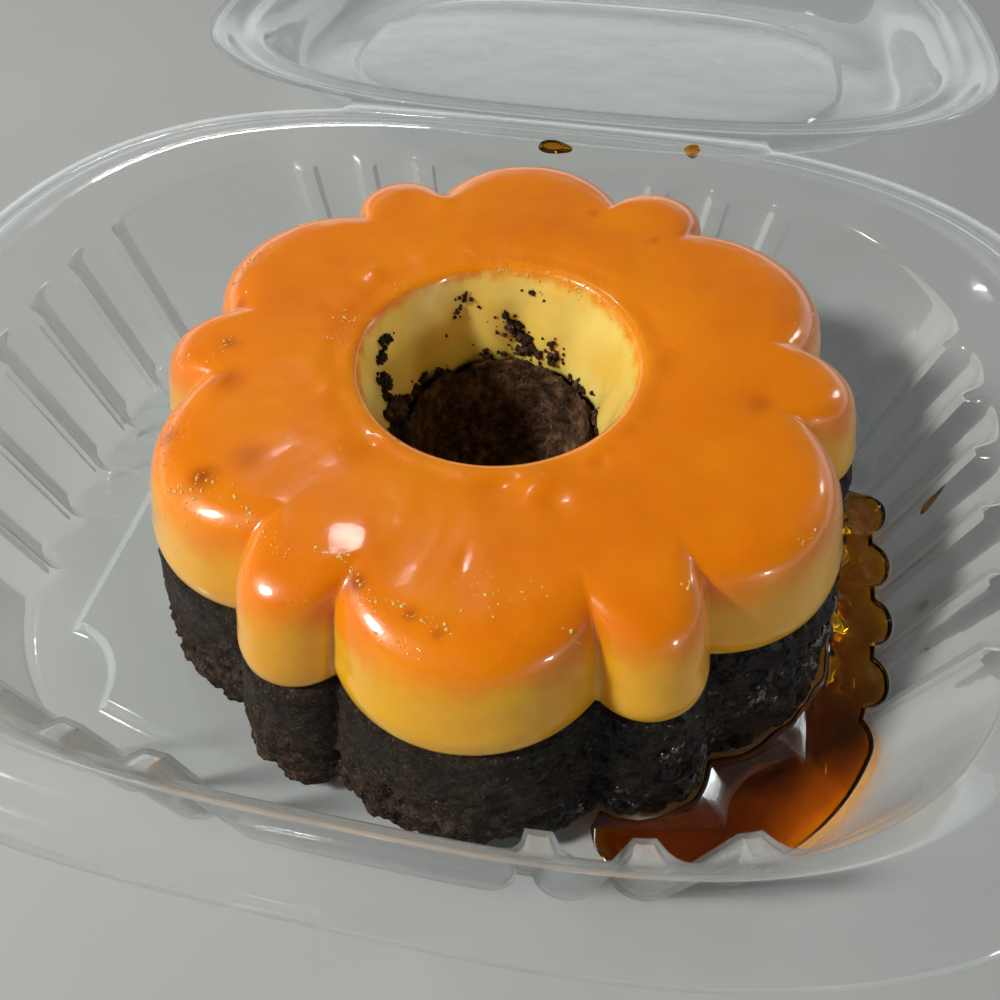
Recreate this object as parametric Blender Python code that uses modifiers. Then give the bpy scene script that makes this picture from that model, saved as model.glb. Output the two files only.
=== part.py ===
"""Individual chocoflan in its clear hinged box.

A twelve-lobed ring of flan sits on a layer of dark chocolate cake, on the raised panel of a
ribbed tray.  A pool of caramel fills the floor beside the cake, and the clear lid is folded
back on its hinge.  Metres, +Z up; the origin is on the table, in the middle of the open box.
"""
import math

import bmesh
import bpy
from mathutils import Vector, noise

MM = 0.001
COLLECTION_NAME = "chocoflan"

# The box: sheet thickness, and the inner edge of the tray's rim as half sizes
WALL = 0.6 * MM
RIM_HALF = Vector((81.0 * MM, 62.8 * MM))
RIM_Z = 30.6 * MM
OUTLINE_POWER = 3.0
BEAD_OFFSET = 4.0 * MM
BEAD_RISE = 1.1 * MM
LIP_OFFSET = 7.0 * MM
LIP_WIDTH = 10.0 * MM
LIP_DROP = 1.2 * MM

# Ribs of the tray's walls, which end in small sloping ledges under a plain band.  The long
# sides have room for nine, and are plain where their middle three would be
LEDGE_HALF = Vector((74.2 * MM, 61.6 * MM))
LEDGE_DROP = 3.5 * MM
LEDGE_SLOPE = 1.7 * MM
RIB_PITCH = 11.3 * MM
LONG_SIDE_RIBS = 9
SHORT_SIDE_RIBS = 6
PLAIN_HALF_LENGTH = 1.4 * RIB_PITCH
RIB_DEPTH_AT_LEDGE = 2.9 * MM
RIB_DEPTH_AT_FLOOR = 2.4 * MM
RIB_STATIONS = (-0.15, 0.15, 0.37, 0.63)
CORNER_STATIONS = 7

# The tray's floor, which bows up a little between its corners, and its raised panel
FLOOR_HALF = Vector((67.3 * MM, 58.9 * MM))
FLOOR_BOW = 0.3 * MM
PANEL_HALF = Vector((55.2 * MM, 52.4 * MM))
PANEL_RISE = 1.6 * MM
PANEL_BEVEL = 1.2 * MM
PANEL_SAG = 9.4 * MM
SCOOP_CENTRE = Vector((55.0 * MM, 45.0 * MM))
SCOOP_RADIUS = 9.8 * MM

# The lid: height of its top over its lip, and the gap it keeps when it is shut
LID_HEIGHT = 13.0 * MM
LID_TOP_HALF = Vector((71.0 * MM, 52.8 * MM))
LID_PANEL_HALF = Vector((61.0 * MM, 42.8 * MM))
LID_PANEL_STEP = 1.2 * MM
LID_NEST_GAP = 0.6 * MM
LID_STATIONS = 80
HINGE_GAP = 0.5 * MM
HINGE_HALF_LENGTH = 41.0 * MM
HINGE_Y = RIM_HALF.y + LIP_WIDTH + HINGE_GAP
HINGE_Z = RIM_Z - LIP_DROP + LID_NEST_GAP / 2.0

# The cake on the panel: its axis, its top and the level where flan and cake meet
CAKE_CENTRE = Vector((6.1 * MM, -1.7 * MM))
CAKE_TOP_Z = 38.4 * MM
LAYER_Z = 22.6 * MM
TOUCH_GAP = 0.3 * MM

# Twelve lobes, a wide one and a narrow one in turn
LOBE_PAIRS = 6
WIDE_HALF_ANGLE = math.radians(20.7)
NARROW_HALF_ANGLE = math.pi / LOBE_PAIRS - WIDE_HALF_ANGLE
FIRST_LOBE_ANGLE = math.radians(-84.5)
WIDE_STEPS = 8
NARROW_STEPS = 4
WIDE_CREST = 47.0 * MM
NARROW_CREST = 46.4 * MM
FAR_STRETCH = 1.9 * MM
VALLEY_RADIUS = 41.0 * MM
CREST_FLARE = 3.7 * MM
VALLEY_FLARE = 3.8 * MM

# Flan: depth under the top and inset from the outline, down its rounded side
FLAN_SIDE = ((15.8, 2.1), (14.9, 0.6), (13.2, 0.0), (9.2, 0.0), (5.8, 0.1), (3.4, 0.6),
             (1.8, 1.5), (0.7, 3.0), (0.15, 5.4))
FLAN_TOP_RING_RADIUS = 29.0 * MM
HOLE_SHIFT = Vector((-0.8 * MM, 0.5 * MM))
HOLE_RIM_RADIUS = 19.1 * MM
HOLE_RIM_DROP = 1.25 * MM
HOLE_LIP_WIDTH = 3.4 * MM
HOLE_FOOT_RADIUS = 14.6 * MM
HOLE_FLUTES = 12
FLUTE_DEPTH = 0.4 * MM

# Chocolate cake: rows of its side as share of height, its spread at the foot, its crumb
CAKE_ROWS = (0.0, 0.12, 0.34, 0.56, 0.78, 1.0)
FOOT_CREST_SPREAD = 3.4 * MM
FOOT_VALLEY_SPREAD = 5.4 * MM
CRUMB_RELIEF = 0.8 * MM
CRUMB_SIZE = 7.0 * MM
HOLLOW_ROWS = ((13.9, 0.0), (13.1, -2.2), (12.2, 1.8), (10.6, 6.5), (7.6, 9.6), (3.6, 10.8))

# Caramel on the floor, from behind the cake's right side round to its front
POOL_TOP_Z = 3.1 * MM
POOL_FROM_ANGLE = math.radians(-66.0)
POOL_TO_ANGLE = math.radians(17.0)
POOL_CLEARANCE = 0.5 * MM
POOL_EDGE_DROP = 0.5 * MM


def superellipse(half, turn):
    """Point of a rounded outline with the given half sizes, at parameter turn."""
    cosine = math.cos(turn)
    sine = math.sin(turn)
    power = 2.0 / OUTLINE_POWER
    x = math.copysign(half.x * abs(cosine) ** power, cosine)
    y = math.copysign(half.y * abs(sine) ** power, sine)
    return Vector((x, y))


def grown(half, amount):
    return half + Vector((amount, amount))


def direction(angle):
    return Vector((math.cos(angle), math.sin(angle)))


def at_height(point, z):
    return Vector((point.x, point.y, z))


def lerp(start, end, share):
    return start + (end - start) * share


def loft(name, rings, close_first=False, close_last=False, wrap=False):
    """Object whose faces join each ring of points to the next."""
    mesh = bmesh.new()
    rows = [[mesh.verts.new(point) for point in ring] for ring in rings]
    pairs = list(zip(rows, rows[1:]))
    if wrap:
        pairs.append((rows[-1], rows[0]))
    for lower, upper in pairs:
        for index in range(len(lower)):
            following = (index + 1) % len(lower)
            mesh.faces.new((lower[index], lower[following], upper[following], upper[index]))
    if close_first:
        mesh.faces.new(list(reversed(rows[0])))
    if close_last:
        mesh.faces.new(rows[-1])
    data = bpy.data.meshes.new(name)
    mesh.to_mesh(data)
    mesh.free()
    data.shade_smooth()
    data.set_sharp_from_angle(angle=math.radians(40.0))
    return bpy.data.objects.new(name, data)


def add_wall(part):
    """Give an open sheet its thickness, away from the side that its faces look to."""
    solidify = part.modifiers.new("Wall", "SOLIDIFY")
    solidify.thickness = WALL
    solidify.offset = -1.0


def make_material(name, colour, roughness, transmission=0.0, ior=1.45):
    material = bpy.data.materials.new(name)
    material.use_nodes = True
    shader = material.node_tree.nodes["Principled BSDF"]
    shader.inputs["Base Color"].default_value = (*colour, 1.0)
    shader.inputs["Roughness"].default_value = roughness
    shader.inputs["Metallic"].default_value = 0.0
    shader.inputs["Transmission Weight"].default_value = transmission
    shader.inputs["IOR"].default_value = ior
    material.diffuse_color = (*colour, 1.0)
    return material


def side_stations(rib_count, half_length, middle_turn):
    """Stations along one side, counter-clockwise, as (turn, is_rib)."""
    stations = []
    for rib in range(rib_count):
        rib_centre = (rib - (rib_count - 1) / 2.0) * RIB_PITCH
        is_plain = rib_count == LONG_SIDE_RIBS and abs(rib_centre) < PLAIN_HALF_LENGTH
        for step, offset in enumerate(RIB_STATIONS):
            ratio = (rib_centre + offset * RIB_PITCH) / half_length
            turn = math.asin(math.copysign(abs(ratio) ** (OUTLINE_POWER / 2.0), ratio))
            stations.append((middle_turn + turn, step < 2 and not is_plain))
    # The last rib has a corner beside it and no scoop
    return stations[:-2]


def tray_stations():
    """Stations all round the tray, with plain ones in the four corners."""
    stations = []
    for side in range(4):
        rib_count = (SHORT_SIDE_RIBS, LONG_SIDE_RIBS)[side % 2]
        next_count = (LONG_SIDE_RIBS, SHORT_SIDE_RIBS)[side % 2]
        half_length = (LEDGE_HALF.y, LEDGE_HALF.x)[side % 2]
        next_length = (LEDGE_HALF.x, LEDGE_HALF.y)[side % 2]
        here = side_stations(rib_count, half_length, side * math.pi / 2.0)
        following = side_stations(next_count, next_length, (side + 1) * math.pi / 2.0)
        stations.extend(here)
        for step in range(1, CORNER_STATIONS + 1):
            share = step / (CORNER_STATIONS + 1)
            stations.append((lerp(here[-1][0], following[0][0], share), False))
    return stations


def lip_ring(turns, z):
    """Outer edge of a lip, drawn out to the hinge where the hinge runs."""
    ring = []
    for turn in turns:
        point = superellipse(grown(RIM_HALF, LIP_WIDTH), turn)
        if abs(point.x) < HINGE_HALF_LENGTH and point.y > 0.0:
            point.y = HINGE_Y - HINGE_GAP / 2.0
        ring.append(at_height(point, z))
    return ring


def plain_ring(turns, half, z):
    return [at_height(superellipse(half, turn), z) for turn in turns]


def ribbed_ring(stations, half, depth, z, scoop_depth=0.0, scoop_z=None):
    """Ring that steps in at the ribs, and keeps to the outline in the scoops."""
    ring = []
    for turn, is_rib in stations:
        inset = depth if is_rib else scoop_depth
        level = z if is_rib or scoop_z is None else scoop_z
        ring.append(at_height(superellipse(grown(half, -inset), turn), level))
    return ring


def panel_reach(angle, inset):
    """Distance from the tray's centre to the panel's edge in this direction."""
    cosine = abs(math.cos(angle))
    sine = abs(math.sin(angle))
    half = grown(PANEL_HALF, -inset)
    bow = PANEL_SAG * (cosine / half.x) ** 2
    if bow < 1e-9:
        long_edge = half.y / sine
    else:
        long_edge = (math.sqrt(sine * sine + 4.0 * bow * half.y) - sine) / (2.0 * bow)
    reach = min(long_edge, half.x / max(cosine, 1e-9))
    along = SCOOP_CENTRE.dot(Vector((cosine, sine)))
    radius = SCOOP_RADIUS + inset
    inside = radius ** 2 - (SCOOP_CENTRE.length_squared - along ** 2)
    if inside > 0.0:
        reach = min(reach, along - math.sqrt(inside))
    return reach


def panel_ring(floor_points, inset, z):
    ring = []
    for point in floor_points:
        angle = math.atan2(point.y, point.x)
        ring.append(at_height(direction(angle) * panel_reach(angle, inset), z))
    return ring


def floor_level(x, y):
    """Height of the tray's floor at a place, lowest where the floor's corners are."""
    corner = superellipse(grown(FLOOR_HALF, -RIB_DEPTH_AT_FLOOR / 2.0), math.pi / 4.0)
    return WALL + FLOOR_BOW * max(0.0, 1.0 - abs(x * y) / (corner.x * corner.y))


def bowed(ring):
    for point in ring:
        point.z = floor_level(point.x, point.y)
    return ring


def floor_ring(stations):
    return bowed(ribbed_ring(stations, FLOOR_HALF, RIB_DEPTH_AT_FLOOR, WALL))


def build_tray():
    """Tray as one sheet, from the outer edge of its lip in to the panel."""
    stations = tray_stations()
    turns = [turn for turn, is_rib in stations]
    ledge_z = RIM_Z - LEDGE_DROP
    smooth_floor = plain_ring(turns, FLOOR_HALF, WALL)
    rings = [
        lip_ring(turns, RIM_Z - LIP_DROP),
        plain_ring(turns, grown(RIM_HALF, LIP_OFFSET), RIM_Z - LIP_DROP),
        plain_ring(turns, grown(RIM_HALF, BEAD_OFFSET), RIM_Z + BEAD_RISE),
        plain_ring(turns, RIM_HALF, RIM_Z),
        plain_ring(turns, LEDGE_HALF, ledge_z),
        ribbed_ring(stations, LEDGE_HALF, RIB_DEPTH_AT_LEDGE, ledge_z - LEDGE_SLOPE,
                    LEDGE_SLOPE / 10.0, ledge_z - LEDGE_SLOPE),
        floor_ring(stations),
        bowed(panel_ring(smooth_floor, 0.0, WALL)),
        panel_ring(smooth_floor, PANEL_BEVEL, WALL + PANEL_RISE),
    ]
    tray = loft("tray", rings, close_last=True)
    add_wall(tray)
    return tray


def lid_rings():
    """Rings of the shut lid's under side, with the hinge axis at y = z = 0."""
    turns = [2.0 * math.pi * step / LID_STATIONS for step in range(LID_STATIONS)]
    lip = LID_NEST_GAP / 2.0
    rows = (
        (grown(RIM_HALF, LIP_OFFSET), lip),
        (grown(RIM_HALF, BEAD_OFFSET), lip + LIP_DROP + BEAD_RISE),
        (RIM_HALF, lip + LIP_DROP),
        (lerp(RIM_HALF, LID_TOP_HALF, 0.35), lip + lerp(LIP_DROP, LID_HEIGHT, 0.25)),
        (lerp(RIM_HALF, LID_TOP_HALF, 0.7), lip + lerp(LIP_DROP, LID_HEIGHT, 0.88)),
        (LID_TOP_HALF, lip + LID_HEIGHT),
        (LID_PANEL_HALF, lip + LID_HEIGHT),
        (grown(LID_PANEL_HALF, -LID_PANEL_STEP), lip + LID_HEIGHT - LID_PANEL_STEP),
    )
    rings = [lip_ring(turns, lip)]
    rings.extend(plain_ring(turns, half, z) for half, z in rows)
    for ring in rings:
        for point in ring:
            point.y -= HINGE_Y
    return rings


def lid_tilt():
    """How far past flat the open lid leans back until its top meets the table."""
    reach = HINGE_Y + LID_TOP_HALF.y
    height = LID_NEST_GAP / 2.0 + LID_HEIGHT + WALL
    return math.asin(HINGE_Z / math.hypot(reach, height)) - math.atan2(height, reach)


def build_lid(hinge):
    rings = [list(reversed(ring)) for ring in lid_rings()]
    lid = loft("lid", rings, close_last=True)
    add_wall(lid)
    lid.parent = hinge
    return lid


def lobe_radius(angle, depth, inset=0.0):
    """Outline of the twelve-lobed ring in this direction, at a depth under the cake's top."""
    share = depth / (CAKE_TOP_Z - LAYER_Z)
    pair_angle = 2.0 * math.pi / LOBE_PAIRS
    offset = (angle - FIRST_LOBE_ANGLE + pair_angle / 2.0) % pair_angle - pair_angle / 2.0
    if abs(offset) <= WIDE_HALF_ANGLE:
        half_angle = WIDE_HALF_ANGLE
        lobe_middle = angle - offset
        crest = WIDE_CREST
    else:
        offset -= math.copysign(pair_angle / 2.0, offset)
        half_angle = NARROW_HALF_ANGLE
        lobe_middle = angle - offset
        crest = NARROW_CREST
    # The ring isn't quite round: its lobes reach further on the far side
    crest += FAR_STRETCH * max(0.0, math.sin(lobe_middle)) ** 2 + CREST_FLARE * share
    valley = VALLEY_RADIUS + VALLEY_FLARE * share
    # Each lobe is an arc through its crest and the valleys beside it
    arc_centre = (crest ** 2 - valley ** 2) / (2.0 * (crest - valley * math.cos(half_angle)))
    arc_radius = crest - arc_centre
    across = arc_centre * math.sin(offset)
    return arc_centre * math.cos(offset) + math.sqrt(arc_radius ** 2 - across ** 2) - inset


def lobe_angles():
    """Directions round the ring, with every valley on one of them."""
    angles = []
    for pair in range(LOBE_PAIRS):
        start = FIRST_LOBE_ANGLE - WIDE_HALF_ANGLE + pair * 2.0 * math.pi / LOBE_PAIRS
        for step in range(WIDE_STEPS):
            angles.append(start + 2.0 * WIDE_HALF_ANGLE * step / WIDE_STEPS)
        for step in range(NARROW_STEPS):
            past_valley = 2.0 * NARROW_HALF_ANGLE * step / NARROW_STEPS
            angles.append(start + 2.0 * WIDE_HALF_ANGLE + past_valley)
    return angles


def cake_point(angle, radius, z, centre_shift=Vector((0.0, 0.0))):
    return at_height(CAKE_CENTRE + centre_shift + direction(angle) * radius, z)


def hole_radius(angle, z):
    """Fluted wall of the flan's hole, narrower towards its foot."""
    rim_z = CAKE_TOP_Z - HOLE_RIM_DROP
    share = (z - LAYER_Z) / (rim_z - LAYER_Z)
    flute = FLUTE_DEPTH * math.cos(HOLE_FLUTES * angle) * (1.0 - share ** 3)
    return lerp(HOLE_FOOT_RADIUS, HOLE_RIM_RADIUS, share ** 1.3) + flute


def build_flan():
    """Ring of flan, round its section: outer side, top, hole and under side."""
    angles = lobe_angles()
    rings = []
    for depth_mm, inset_mm in FLAN_SIDE:
        depth = depth_mm * MM
        rings.append([cake_point(angle, lobe_radius(angle, depth, inset_mm * MM),
                                 CAKE_TOP_Z - depth) for angle in angles])
    rings.append([cake_point(angle, FLAN_TOP_RING_RADIUS, CAKE_TOP_Z) for angle in angles])
    lip_radius = HOLE_RIM_RADIUS + HOLE_LIP_WIDTH
    rings.append([cake_point(angle, lip_radius, CAKE_TOP_Z - 0.3 * HOLE_RIM_DROP, HOLE_SHIFT)
                  for angle in angles])
    rim_z = CAKE_TOP_Z - HOLE_RIM_DROP
    for share in (1.0, 0.9, 0.65, 0.32, 0.0):
        z = lerp(LAYER_Z, rim_z, share)
        rings.append([cake_point(angle, hole_radius(angle, z), z, HOLE_SHIFT)
                      for angle in angles])
    return loft("flan", rings, wrap=True)


def crumb(point):
    """Coarse, repeatable unevenness of torn cake, up to its relief in or out."""
    value = noise.noise(point / CRUMB_SIZE) + 0.5 * noise.noise(point / (CRUMB_SIZE / 2.2))
    return CRUMB_RELIEF * max(-1.0, min(1.0, value))


def cake_side_radius(angle, share):
    """Side of the chocolate cake at a share of its height, with its torn foot."""
    depth = CAKE_TOP_Z - LAYER_Z
    outline = lobe_radius(angle, depth)
    crest = NARROW_CREST + CREST_FLARE
    valley = VALLEY_RADIUS + VALLEY_FLARE
    crest_share = max(0.0, min(1.0, (outline - valley) / (crest - valley)))
    spread = lerp(FOOT_VALLEY_SPREAD, FOOT_CREST_SPREAD, crest_share) * (1.0 - share) ** 0.8
    rough = crumb(cake_point(angle, outline, share * LAYER_Z)) * min(1.0, 2.0 * (1.0 - share))
    return outline - TOUCH_GAP + spread + rough


def build_cake():
    """Chocolate layer: under side, torn outer side, hidden top and the hollow in its middle."""
    angles = lobe_angles()
    foot_z = WALL + PANEL_RISE + TOUCH_GAP
    top_z = LAYER_Z - TOUCH_GAP
    rings = []
    for share in CAKE_ROWS:
        z = lerp(foot_z, top_z, share)
        rings.append([cake_point(angle, cake_side_radius(angle, share), z) for angle in angles])
    for radius_mm, drop_mm in HOLLOW_ROWS:
        ring = []
        for angle in angles:
            z = top_z - drop_mm * MM
            if drop_mm < 0.0:
                # The torn edge stands up into the flan's hole on its far side
                z = top_z - drop_mm * MM * (0.5 + 0.5 * math.sin(angle))
            point = cake_point(angle, radius_mm * MM, z, HOLE_SHIFT)
            if drop_mm > 0.0:
                point.z += crumb(point)
            ring.append(point)
        rings.append(ring)
    return loft("cake", rings, close_first=True, close_last=True)


def reach_to_outline(origin, heading, outline):
    """Distance from origin along heading to a closed outline of points."""
    reaches = []
    for start, end in zip(outline, outline[1:] + outline[:1]):
        edge = Vector((end.x - start.x, end.y - start.y))
        to_start = Vector((start.x - origin.x, start.y - origin.y))
        cross = heading.x * edge.y - heading.y * edge.x
        if abs(cross) < 1e-12:
            continue
        along = (to_start.x * edge.y - to_start.y * edge.x) / cross
        share = (to_start.x * heading.y - to_start.y * heading.x) / cross
        if along > 0.0 and -1e-6 <= share <= 1.0 + 1e-6:
            reaches.append(along)
    return min(reaches)


def build_caramel_pool():
    """Caramel between the cake's foot, the panel's step and the ribbed wall."""
    stations = tray_stations()
    floor_points = floor_ring(stations)
    smooth_floor = plain_ring([turn for turn, is_rib in stations], FLOOR_HALF, WALL)
    panel_foot = panel_ring(smooth_floor, 0.0, WALL)
    panel_top = panel_ring(smooth_floor, PANEL_BEVEL, WALL)
    over_panel = WALL + PANEL_RISE + TOUCH_GAP
    sections = []
    for floor_point in floor_points:
        heading = Vector((floor_point.x, floor_point.y)) - CAKE_CENTRE
        angle = math.atan2(heading.y, heading.x)
        if not POOL_FROM_ANGLE < angle < POOL_TO_ANGLE:
            continue
        outer = heading.length - POOL_CLEARANCE
        heading.normalize()
        foot = cake_side_radius(angle, 0.0) + CRUMB_RELIEF
        step_top = reach_to_outline(CAKE_CENTRE, heading, panel_top) + POOL_CLEARANCE
        step_foot = reach_to_outline(CAKE_CENTRE, heading, panel_foot) + POOL_CLEARANCE
        step_top = max(step_top, foot + POOL_CLEARANCE)
        step_foot = max(step_foot, step_top + POOL_CLEARANCE)
        section = ((foot, over_panel), (foot, POOL_TOP_Z), (outer, POOL_TOP_Z - POOL_EDGE_DROP),
                   (outer - POOL_CLEARANCE / 2.0, None), (step_foot, None), (step_top, over_panel))
        points = []
        for reach, z in section:
            point = cake_point(angle, reach, 0.0)
            point.z = floor_level(point.x, point.y) + TOUCH_GAP if z is None else z
            points.append(point)
        sections.append((angle, points))
    sections.sort(key=lambda pair: pair[0])
    rings = [points for angle, points in sections]
    return loft("caramel_pool", rings, close_first=True, close_last=True)


def clear_scene():
    for item in list(bpy.data.objects):
        bpy.data.objects.remove(item, do_unlink=True)


def make_empty(name, collection):
    empty = bpy.data.objects.new(name, None)
    collection.objects.link(empty)
    return empty


def main():
    clear_scene()
    collection = bpy.data.collections.new(COLLECTION_NAME)
    bpy.context.scene.collection.children.link(collection)

    clear_plastic = make_material("clear_plastic", (0.93, 0.96, 0.96), 0.05, 1.0, 1.57)
    flan_custard = make_material("flan_custard", (0.80, 0.36, 0.03), 0.22)
    chocolate_cake = make_material("chocolate_cake", (0.022, 0.012, 0.008), 0.45)
    caramel = make_material("caramel", (0.42, 0.14, 0.01), 0.06, 0.6, 1.48)

    # The origin is halfway between the tray's front edge and the open lid's far edge
    tray_reach = RIM_HALF.y + LIP_WIDTH
    lid_reach = HINGE_Y + (HINGE_Y + tray_reach) * math.cos(lid_tilt())
    box_centre = make_empty("box_centre", collection)
    box_centre.location = (0.0, (tray_reach - lid_reach) / 2.0, 0.0)
    hinge = make_empty("hinge_axis", collection)
    hinge.location = (0.0, HINGE_Y, HINGE_Z)
    hinge.rotation_euler = (-math.pi - lid_tilt(), 0.0, 0.0)
    hinge.parent = box_centre

    parts = (
        (build_tray(), clear_plastic),
        (build_lid(hinge), clear_plastic),
        (build_cake(), chocolate_cake),
        (build_flan(), flan_custard),
        (build_caramel_pool(), caramel),
    )
    for part, material in parts:
        part.data.materials.append(material)
        collection.objects.link(part)
        if part.parent is None:
            part.parent = box_centre


main()
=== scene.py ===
"""Looks of an individual chocoflan in its clear hinged box.

Glazed flan, wet chocolate cake, caramel and clear sheet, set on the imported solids.  Metres, in
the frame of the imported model; +Z is up and the origin is in the middle of the open box.
"""
import math
import random

import bpy
import numpy as np
from mathutils import Matrix, Vector, noise


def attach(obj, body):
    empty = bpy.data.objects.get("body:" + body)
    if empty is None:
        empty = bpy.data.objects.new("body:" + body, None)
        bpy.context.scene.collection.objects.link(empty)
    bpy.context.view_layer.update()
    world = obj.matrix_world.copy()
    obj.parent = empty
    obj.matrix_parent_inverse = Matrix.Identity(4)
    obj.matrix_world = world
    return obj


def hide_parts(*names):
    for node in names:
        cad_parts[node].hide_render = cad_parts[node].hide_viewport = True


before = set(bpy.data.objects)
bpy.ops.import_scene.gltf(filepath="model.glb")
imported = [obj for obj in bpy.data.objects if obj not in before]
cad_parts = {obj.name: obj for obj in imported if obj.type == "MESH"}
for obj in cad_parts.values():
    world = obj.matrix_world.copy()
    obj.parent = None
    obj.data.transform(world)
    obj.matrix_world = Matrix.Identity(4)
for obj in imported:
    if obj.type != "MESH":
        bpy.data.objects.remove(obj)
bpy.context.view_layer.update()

MM = 0.001
TAU = 2.0 * math.pi

# Where the tray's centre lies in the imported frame
TRAY_CENTRE = Vector((0.0, -72.716 * MM, 0.0))

# The box
WALL = 0.6 * MM
RIM_HALF = np.array((81.0, 62.8)) * MM
RIM_Z = 30.6 * MM
OUTLINE_POWER = 3.0
BEAD_OFFSET = 4.0 * MM
BEAD_RISE = 1.1 * MM
LIP_OFFSET = 7.0 * MM
LIP_WIDTH = 10.0 * MM
LIP_DROP = 1.2 * MM
LEDGE_HALF = np.array((74.2, 61.6)) * MM
LEDGE_DROP = 3.5 * MM
LEDGE_SLOPE = 1.7 * MM
RIB_PITCH = 11.3 * MM
LONG_SIDE_RIBS = 9
SHORT_SIDE_RIBS = 6
PLAIN_HALF_LENGTH = 1.5 * RIB_PITCH
RIB_DEPTH_AT_LEDGE = 2.9 * MM
RIB_DEPTH_AT_FLOOR = 2.4 * MM
RIB_FLAT_SHARE = 0.14
FLOOR_HALF = np.array((67.3, 58.9)) * MM
FLOOR_BOW = 0.3 * MM
PANEL_HALF = np.array((55.2, 52.4)) * MM
PANEL_RISE = 1.6 * MM
PANEL_BEVEL = 1.2 * MM
PANEL_SAG = 9.4 * MM
SCOOP_CENTRE = np.array((55.0, 45.0)) * MM
SCOOP_RADIUS = 9.8 * MM
LID_HEIGHT = 13.0 * MM
LID_TOP_HALF = np.array((71.0, 52.8)) * MM
LID_PANEL_HALF = np.array((61.0, 42.8)) * MM
LID_PANEL_STEP = 1.2 * MM
LID_NEST_GAP = 0.6 * MM
HINGE_GAP = 0.5 * MM
HINGE_HALF_LENGTH = 41.0 * MM
HINGE_Y = RIM_HALF[1] + LIP_WIDTH + HINGE_GAP
HINGE_Z = RIM_Z - LIP_DROP + LID_NEST_GAP / 2.0

# The cake
CAKE_CENTRE = np.array((6.1, -1.7)) * MM
CAKE_AXIS = np.array(TRAY_CENTRE)[:2] + CAKE_CENTRE
CAKE_TOP_Z = 38.4 * MM
LAYER_Z = 22.6 * MM
TOUCH_GAP = 0.3 * MM
LOBE_PAIRS = 6
WIDE_HALF_ANGLE = math.radians(20.7)
NARROW_HALF_ANGLE = math.pi / LOBE_PAIRS - WIDE_HALF_ANGLE
FIRST_LOBE_ANGLE = math.radians(-84.5)
WIDE_CREST = 47.0 * MM
NARROW_CREST = 46.4 * MM
FAR_STRETCH = 1.9 * MM
VALLEY_RADIUS = 41.0 * MM
CREST_FLARE = 3.7 * MM
VALLEY_FLARE = 3.8 * MM
# The flan's side: mm under the cake's top, mm in from the lobed outline
FLAN_SIDE = ((15.8, 2.1), (14.9, 0.6), (13.2, 0.0), (9.2, 0.0), (5.8, 0.1), (3.4, 0.6),
             (1.8, 1.5), (0.7, 3.0), (0.15, 5.4))
FLAN_TOP_RING_RADIUS = 29.0 * MM
HOLE_SHIFT = np.array((-0.8, 0.5)) * MM
HOLE_RIM_RADIUS = 19.1 * MM
HOLE_RIM_DROP = 1.25 * MM
HOLE_LIP_WIDTH = 3.4 * MM
HOLE_FOOT_RADIUS = 14.6 * MM
HOLE_FLUTES = 12
FLUTE_DEPTH = 0.4 * MM
FOOT_CREST_SPREAD = 3.4 * MM
FOOT_VALLEY_SPREAD = 5.4 * MM
CRUMB_RELIEF = 0.8 * MM
CRUMB_SIZE = 7.0 * MM
# The hollow under the hole: radius mm, mm under the cake layer's top
HOLLOW_ROWS = ((13.9, 0.0), (13.1, -2.2), (12.2, 1.8), (10.6, 6.5), (7.6, 9.6), (3.6, 10.8))
POOL_TOP_Z = 3.1 * MM
POOL_FROM_ANGLE = math.radians(-66.0)
POOL_TO_ANGLE = math.radians(17.0)
POOL_END_REACH = math.radians(6.0)
POOL_END_ROUNDING = math.radians(2.0)
POOL_DIP = 0.75 * MM
POOL_EDGE_RISE = 0.7 * MM

# The camera, fitted to the photo: place, focal length and its right, up and backward axes
CAMERA_PLACE = Vector((25.76, -162.13, 121.79)) * MM
CAMERA_LENS = 32.66
CAMERA_RIGHT = Vector((0.97809, 0.20756, -0.01592))
CAMERA_UP = Vector((-0.15401, 0.77293, 0.61552))
CAMERA_BACK = Vector((0.14006, -0.59958, 0.78796))

# Level of detail of the dense surfaces
CAKE_COLUMNS = 600
RIB_SAMPLE = 0.62 * MM
CORNER_COLUMNS = 34
LID_COLUMNS = 320


def as_points(x, y, z):
    return np.stack(np.broadcast_arrays(x, y, z), axis=-1)


def heading_of(angle):
    return np.array((math.cos(angle), math.sin(angle)))


def superellipse(half, turn):
    cosine = np.cos(turn)
    sine = np.sin(turn)
    power = 2.0 / OUTLINE_POWER
    x = np.copysign(half[0] * np.abs(cosine) ** power, cosine)
    y = np.copysign(half[1] * np.abs(sine) ** power, sine)
    return x, y


def add_object(name, points, faces, material):
    data = bpy.data.meshes.new(name)
    data.from_pydata([tuple(point) for point in points], [], faces)
    data.shade_smooth()
    data.materials.append(material)
    piece = bpy.data.objects.new(name, data)
    bpy.context.scene.collection.objects.link(piece)
    return piece


def grid_faces(row_count, column_count, wrap_rows):
    """Faces between rows of points whose columns run round a closed outline."""
    faces = []
    last = row_count if wrap_rows else row_count - 1
    for row in range(last):
        here = row * column_count
        above = ((row + 1) % row_count) * column_count
        for column in range(column_count):
            following = (column + 1) % column_count
            faces.append((here + column, here + following, above + following, above + column))
    return faces


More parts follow.
